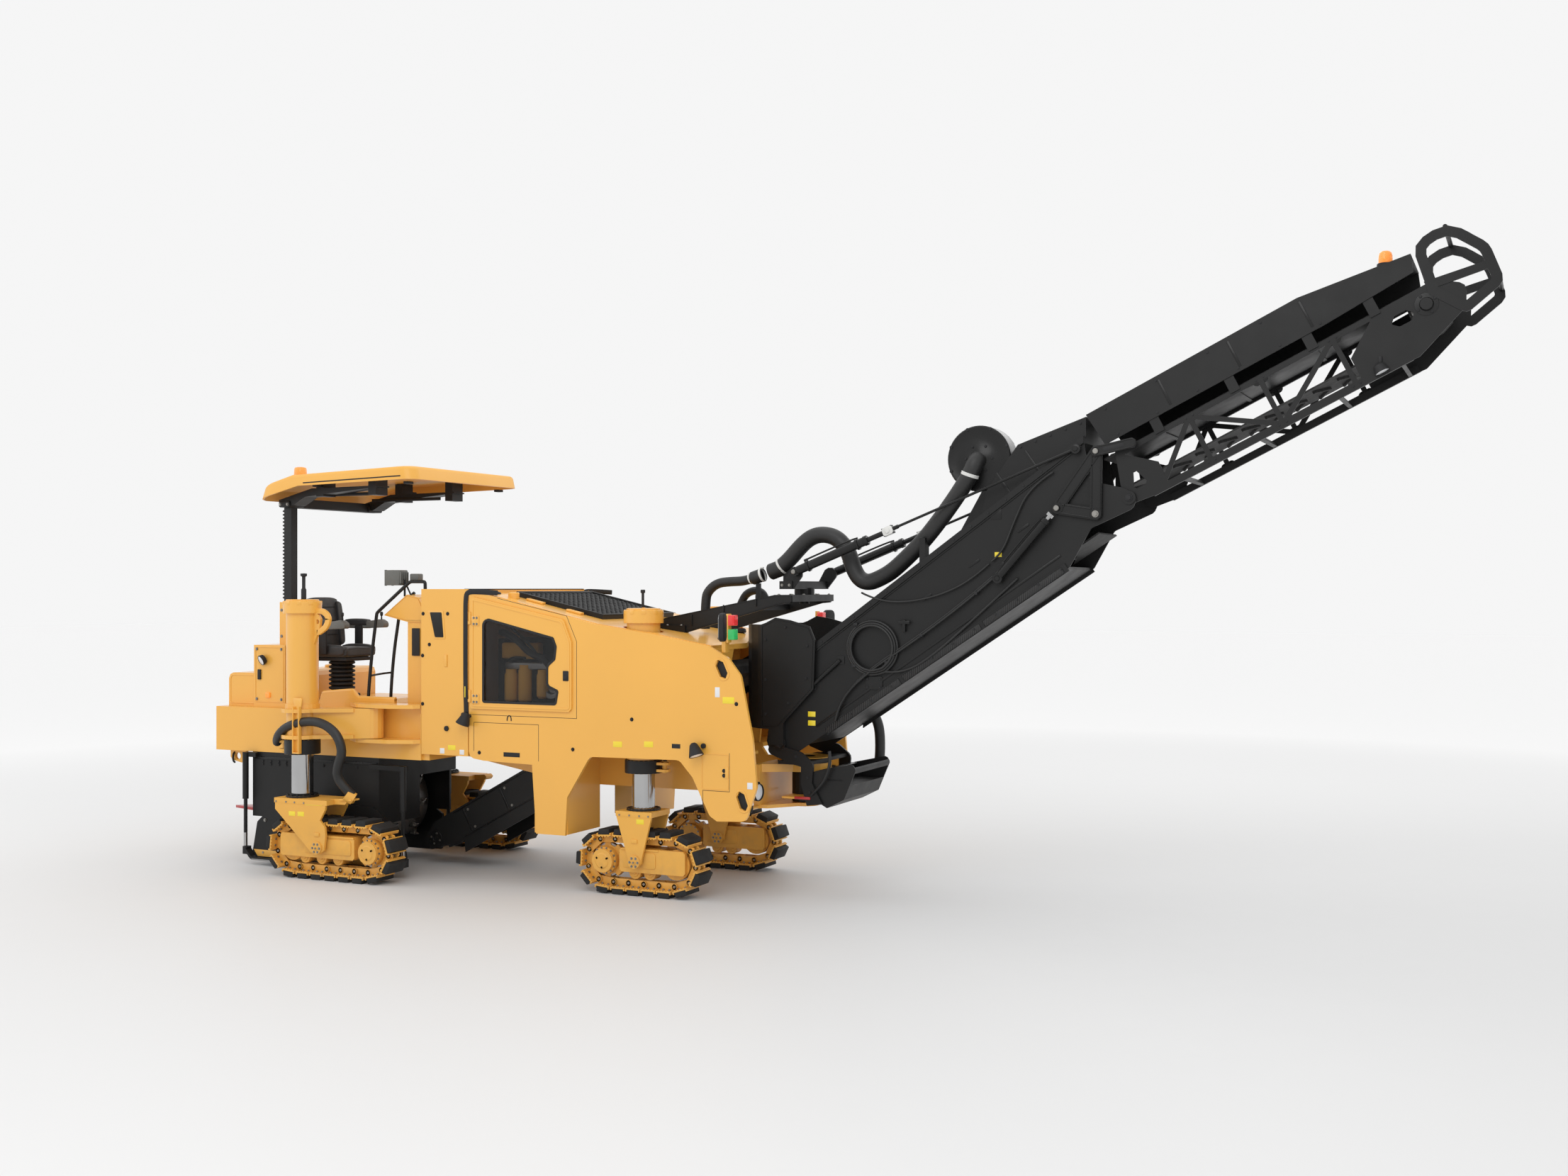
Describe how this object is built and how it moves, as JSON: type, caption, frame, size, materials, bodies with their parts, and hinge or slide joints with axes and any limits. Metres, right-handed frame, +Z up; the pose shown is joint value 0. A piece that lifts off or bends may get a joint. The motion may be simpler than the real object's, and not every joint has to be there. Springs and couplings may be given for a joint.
{
  "type": "cold planer milling machine",
  "caption": "Half-lane cold planer on tracked legs with a milling drum under the rear, an operator's platform with canopy and a folding front discharge conveyor.",
  "frame": {"origin": "middle of the machine's footprint box, on the ground under the track pads", "axes": "+X forward along the discharge conveyor, +Y to the machine's left, +Z up"},
  "size_m": [11.6878, 2.702, 5.3815],
  "materials": {
    "bare_steel": "worn",
    "belt_rubber": "matt",
    "black_paint": "satin",
    "black_plastic": "matt",
    "canopy_shell": "satin",
    "chromed_rod": "polished",
    "seat_cover": "matt",
    "track_steel": "satin",
    "window_glass": "clear",
    "yellow_paint": "gloss"
  },
  "bodies": {
    "chassis": {"main_frame": "yellow_paint", "hood_side_right": "yellow_paint", "hood_side_left": "yellow_paint", "hood_top": "yellow_paint", "air_grille": "black_paint", "engine_block": "black_paint", "drum_housing": "yellow_paint", "moldboard": "bare_steel", "gantry": "black_paint", "platform_deck": "black_paint", "control_console": "yellow_paint", "operator_seat": "seat_cover", "handrails": "yellow_paint", "rear_cabinet": "yellow_paint", "mirrors_and_lamps": "black_plastic", "hose_from_hood": "belt_rubber"},
    "door_right": {"engine_door_right": "yellow_paint", "door_window_right": "window_glass"},
    "door_left": {"engine_door_left": "yellow_paint", "door_window_left": "window_glass"},
    "canopy": {"canopy_mast": "black_paint", "canopy_roof": "canopy_shell"},
    "swing_leg": {"swing_arm": "yellow_paint", "leg_tube_rear_right": "yellow_paint"},
    "drum": {"milling_drum": "bare_steel"},
    "plate_right": {"side_plate_right": "yellow_paint"},
    "plate_left": {"side_plate_left": "yellow_paint"},
    "collecting": {"collecting_conveyor": "black_paint", "collecting_belt": "belt_rubber"},
    "slew": {"slew_turret": "black_paint", "slew_head": "black_paint", "hose_on_swivel": "belt_rubber"},
    "lower_section": {"conveyor_lower": "black_paint", "belt_lower": "belt_rubber", "hose_on_conveyor": "belt_rubber"},
    "upper_section": {"conveyor_upper": "black_paint", "belt_upper": "belt_rubber"},
    "crank": {"fold_crank": "black_paint"},
    "link": {"fold_link": "black_paint"},
    "fold_barrel": {"fold_cylinder": "black_paint"},
    "fold_piston": {"fold_rod": "chromed_rod"},
    "lift_barrel": {"lift_cylinder": "black_paint"},
    "lift_piston": {"lift_rod": "chromed_rod"},
    "collar_front_right": {"collar_front_right": "yellow_paint"},
    "strut_front_right": {"leg_front_right": "yellow_paint", "track_frame_front_right": "yellow_paint", "track_front_right": "track_steel"},
    "collar_front_left": {"collar_front_left": "yellow_paint"},
    "strut_front_left": {"leg_front_left": "yellow_paint", "track_frame_front_left": "yellow_paint", "track_front_left": "track_steel"},
    "collar_rear_right": {"collar_rear_right": "yellow_paint"},
    "strut_rear_right": {"leg_rear_right": "yellow_paint", "track_frame_rear_right": "yellow_paint", "track_rear_right": "track_steel"},
    "collar_rear_left": {"collar_rear_left": "yellow_paint"},
    "strut_rear_left": {"leg_rear_left": "yellow_paint", "track_frame_rear_left": "yellow_paint", "track_rear_left": "track_steel"}
  },
  "joints": [
    {"name": "engine_door_right_swing", "type": "hinge", "parent": "chassis", "child": "door_right", "pos_m": [-2.78392, -0.837, 2.1], "axis": [0, 0, -1], "range_deg": [0, 100]},
    {"name": "engine_door_left_swing", "type": "hinge", "parent": "chassis", "child": "door_left", "pos_m": [-2.78392, 1.199, 2.1], "axis": [0, 0, 1], "range_deg": [0, 100]},
    {"name": "canopy_height", "type": "slide", "parent": "chassis", "child": "canopy", "axis": [0, 0, 1], "range_m": [-0.7, 0]},
    {"name": "rear_leg_swing", "type": "hinge", "parent": "chassis", "child": "swing_leg", "pos_m": [-3.87392, -0.864, 1.435], "axis": [0, 0, 1], "range_deg": [0, 130]},
    {"name": "steer_front_right", "type": "hinge", "parent": "chassis", "child": "collar_front_right", "pos_m": [-1.09392, -0.609, 1.075], "axis": [0, 0, 1], "range_deg": [-25, 25]},
    {"name": "height_front_right", "type": "slide", "parent": "collar_front_right", "child": "strut_front_right", "axis": [0, 0, 1], "range_m": [-0.25, 0.3]},
    {"name": "steer_front_left", "type": "hinge", "parent": "chassis", "child": "collar_front_left", "pos_m": [-1.09392, 0.971, 1.075], "axis": [0, 0, 1], "range_deg": [-25, 25]},
    {"name": "height_front_left", "type": "slide", "parent": "collar_front_left", "child": "strut_front_left", "axis": [0, 0, 1], "range_m": [-0.25, 0.3]},
    {"name": "steer_rear_right", "type": "hinge", "parent": "swing_leg", "child": "collar_rear_right", "pos_m": [-4.45392, -1.159, 1.15], "axis": [0, 0, 1], "range_deg": [-130, 0]},
    {"name": "height_rear_right", "type": "slide", "parent": "collar_rear_right", "child": "strut_rear_right", "axis": [0, 0, 1], "range_m": [-0.25, 0.3]},
    {"name": "steer_rear_left", "type": "hinge", "parent": "chassis", "child": "collar_rear_left", "pos_m": [-4.45392, 1.031, 1.15], "axis": [0, 0, 1], "range_deg": [-18, 18]},
    {"name": "height_rear_left", "type": "slide", "parent": "collar_rear_left", "child": "strut_rear_left", "axis": [0, 0, 1], "range_m": [-0.25, 0.3]},
    {"name": "drum_spin", "type": "hinge", "parent": "chassis", "child": "drum", "pos_m": [-4.49392, -0.219, 0.575], "axis": [0, 1, 0], "continuous": true},
    {"name": "side_plate_right_lift", "type": "slide", "parent": "chassis", "child": "plate_right", "axis": [0, 0, 1], "range_m": [0, 0.3]},
    {"name": "side_plate_left_lift", "type": "slide", "parent": "chassis", "child": "plate_left", "axis": [0, 0, 1], "range_m": [0, 0.3]},
    {"name": "collecting_conveyor_lift", "type": "hinge", "parent": "chassis", "child": "collecting", "pos_m": [-0.50892, 0.181, 1.961], "axis": [0, 1, 0], "range_deg": [0, 4]},
    {"name": "conveyor_slew", "type": "hinge", "parent": "chassis", "child": "slew", "pos_m": [0.10608, 0.181, 1.15], "axis": [0, 0, 1], "range_deg": [-45, 45]},
    {"name": "conveyor_luff", "type": "hinge", "parent": "slew", "child": "lower_section", "pos_m": [0.05608, 0.181, 1.345], "axis": [0, -1, 0], "range_deg": [-18, 5]},
    {"name": "conveyor_fold", "type": "hinge", "parent": "lower_section", "child": "upper_section", "pos_m": [3.11908, 0.181, 3.418], "axis": [0, 1, 0], "range_deg": [0, 110]},
    {"name": "lift_cylinder_tilt", "type": "hinge", "parent": "slew", "child": "lift_barrel", "pos_m": [0.20608, 0.181, 2.84], "axis": [0, -1, 0], "range_deg": [-22.16, 6.88]},
    {"name": "lift_rod_slide", "type": "slide", "parent": "lift_barrel", "child": "lift_piston", "axis": [0.9305, 0, 0.3662], "range_m": [-0.1263, 0.4468]},
    {"name": "fold_crank_turn", "type": "hinge", "parent": "lower_section", "child": "crank", "pos_m": [2.85608, 0.181, 3.293], "axis": [0, 1, 0], "range_deg": [0, 70.29]},
    {"name": "fold_link_turn", "type": "hinge", "parent": "crank", "child": "link", "pos_m": [2.86208, 0.181, 3.793], "axis": [0, 1, 0], "range_deg": [-9.69, 0]},
    {"name": "fold_cylinder_tilt", "type": "hinge", "parent": "lower_section", "child": "fold_barrel", "pos_m": [2.04708, 0.181, 2.779], "axis": [0, 1, 0], "range_deg": [0, 1.93]},
    {"name": "fold_rod_slide", "type": "slide", "parent": "fold_barrel", "child": "fold_piston", "axis": [0.6583, 0, 0.7527], "range_m": [0, 0.3645]}
  ],
  "couplings": [
    {"joint": "steer_rear_right", "follows": "rear_leg_swing", "ratio": -1},
    {"joint": "lift_cylinder_tilt", "follows": "conveyor_luff", "ratio": 1.1755},
    {"joint": "lift_rod_slide", "follows": "conveyor_luff", "m_per_rad": -1.4125},
    {"joint": "fold_crank_turn", "follows": "conveyor_fold", "ratio": 0.6299},
    {"joint": "fold_link_turn", "follows": "conveyor_fold", "ratio": -0.079},
    {"joint": "fold_cylinder_tilt", "follows": "conveyor_fold", "ratio": 0.0085},
    {"joint": "fold_rod_slide", "follows": "conveyor_fold", "m_per_rad": 0.1883}
  ]
}
